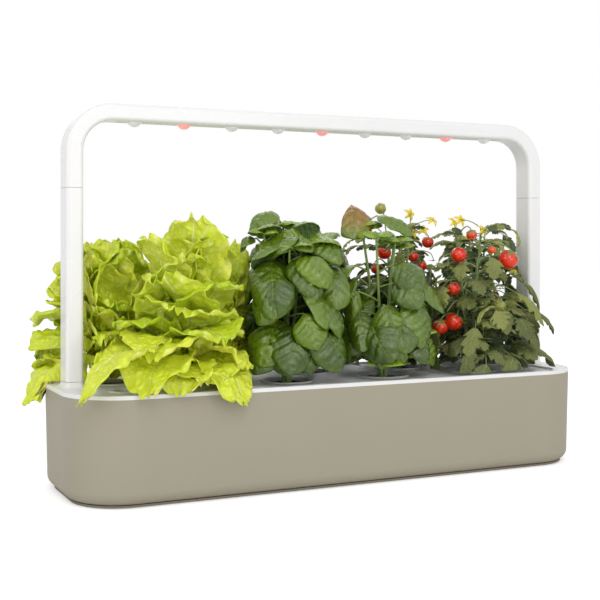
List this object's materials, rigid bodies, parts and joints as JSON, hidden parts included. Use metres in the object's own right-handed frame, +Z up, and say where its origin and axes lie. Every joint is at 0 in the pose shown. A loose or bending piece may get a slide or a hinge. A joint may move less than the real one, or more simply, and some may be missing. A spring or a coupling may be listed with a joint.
{
  "type": "countertop hydroponic garden",
  "caption": "Long low planter with rounded ends, a white water tank and lid with pods of lettuce, basil and tomato, under a U-shaped plug-on grow lamp",
  "frame": {"origin": "on the table, at the middle of the base's outline", "axes": "+X to the right along the base, -Y towards the viewer, +Z up"},
  "size_m": [0.6333, 0.2246, 0.4],
  "materials": {
    "taupe_shell": "fine matt grain, moulded",
    "plinth_plastic": "darker matt plastic",
    "foot_rubber": "soft dark rubber",
    "screw_steel": "bright zinc-plated steel",
    "white_plastic": "satin white, moulded",
    "white_lamp": "smooth satin white",
    "lid_white": "satin white, moulded",
    "cover_white": "satin white",
    "cup_white": "satin white",
    "black_plastic": "black insulating plastic with metal contacts",
    "cable_black": "soft cable sheath",
    "wire_red": "insulated wire",
    "board_white": "white solder mask on an aluminium board",
    "board_green": "green circuit board",
    "led_yellow": "light source with a yellow coating",
    "lens_clear": "clear lens",
    "lens_red": "lens lit red",
    "float_grey": "pale float",
    "growing_medium": "dark brown fibrous rooting plug",
    "lettuce_leaf": "living leaf, yellow-green",
    "basil_leaf": "living leaf, glossy mid green",
    "tomato_leaf": "living leaf, dark green, with red fruit"
  },
  "bodies": {
    "base": {"outer_shell": "taupe_shell", "base_plate": "plinth_plastic", "rubber_feet": "foot_rubber", "base_screws": "screw_steel", "water_tank": "white_plastic", "dc_inlet": "black_plastic", "dc_inlet_nut": "screw_steel", "power_harness": "cable_black", "base_contact_block": "black_plastic"},
    "arms": {"left_extension_arm": "white_lamp", "right_extension_arm": "white_lamp", "arm_contacts": "black_plastic", "arm_wires": "wire_red"},
    "lamp": {"lamp_frame": "white_lamp", "light_cover": "cover_white", "led_board": "board_white", "led_board_screws": "screw_steel", "led_chips": "led_yellow", "white_lenses": "lens_clear", "red_lenses": "lens_red", "driver_board": "board_green", "lamp_contact": "black_plastic", "lamp_wires": "wire_red"},
    "lid": {"lid": "lid_white", "float_guide": "white_plastic"},
    "float": {"water_float": "float_grey"},
    "pod_1": {"pod_cup_1": "cup_white", "growing_plug_1": "growing_medium", "lettuce_1": "lettuce_leaf"},
    "pod_2": {"pod_cup_2": "cup_white", "growing_plug_2": "growing_medium", "lettuce_2": "lettuce_leaf"},
    "pod_3": {"pod_cup_3": "cup_white", "growing_plug_3": "growing_medium", "lettuce_3": "lettuce_leaf"},
    "pod_4": {"pod_cup_4": "cup_white", "growing_plug_4": "growing_medium", "basil_1": "basil_leaf"},
    "pod_5": {"pod_cup_5": "cup_white", "growing_plug_5": "growing_medium", "basil_2": "basil_leaf"},
    "pod_6": {"pod_cup_6": "cup_white", "growing_plug_6": "growing_medium", "basil_3": "basil_leaf"},
    "pod_7": {"pod_cup_7": "cup_white", "growing_plug_7": "growing_medium", "tomato_1": "tomato_leaf"},
    "pod_8": {"pod_cup_8": "cup_white", "growing_plug_8": "growing_medium", "tomato_2": "tomato_leaf"},
    "pod_9": {"pod_cup_9": "cup_white", "growing_plug_9": "growing_medium", "tomato_3": "tomato_leaf"}
  },
  "joints": [
    {"name": "arms_slide", "type": "slide", "parent": "base", "child": "arms", "axis": [0, 0, 1], "range_m": [0, 0.02]},
    {"name": "lamp_slide", "type": "slide", "parent": "arms", "child": "lamp", "axis": [0, 0, 1], "range_m": [0, 0.02]},
    {"name": "lid_lift", "type": "slide", "parent": "base", "child": "lid", "axis": [0, 0, 1], "range_m": [0, 0.04]},
    {"name": "float_rise", "type": "slide", "parent": "lid", "child": "float", "axis": [0, 0, 1], "range_m": [0, 0.022]},
    {"name": "pod_1_lift", "type": "slide", "parent": "lid", "child": "pod_1", "axis": [0, 0, 1], "range_m": [0, 0.045], "deforming": ["lettuce_1"]},
    {"name": "pod_2_lift", "type": "slide", "parent": "lid", "child": "pod_2", "axis": [0, 0, 1], "range_m": [0, 0.045], "deforming": ["lettuce_2"]},
    {"name": "pod_3_lift", "type": "slide", "parent": "lid", "child": "pod_3", "axis": [0, 0, 1], "range_m": [0, 0.045], "deforming": ["lettuce_3"]},
    {"name": "pod_4_lift", "type": "slide", "parent": "lid", "child": "pod_4", "axis": [0, 0, 1], "range_m": [0, 0.045], "deforming": ["basil_1"]},
    {"name": "pod_5_lift", "type": "slide", "parent": "lid", "child": "pod_5", "axis": [0, 0, 1], "range_m": [0, 0.045], "deforming": ["basil_2"]},
    {"name": "pod_6_lift", "type": "slide", "parent": "lid", "child": "pod_6", "axis": [0, 0, 1], "range_m": [0, 0.045], "deforming": ["basil_3"]},
    {"name": "pod_7_lift", "type": "slide", "parent": "lid", "child": "pod_7", "axis": [0, 0, 1], "range_m": [0, 0.045], "deforming": ["tomato_1"]},
    {"name": "pod_8_lift", "type": "slide", "parent": "lid", "child": "pod_8", "axis": [0, 0, 1], "range_m": [0, 0.045], "deforming": ["tomato_2"]},
    {"name": "pod_9_lift", "type": "slide", "parent": "lid", "child": "pod_9", "axis": [0, 0, 1], "range_m": [0, 0.045], "deforming": ["tomato_3"]}
  ]
}
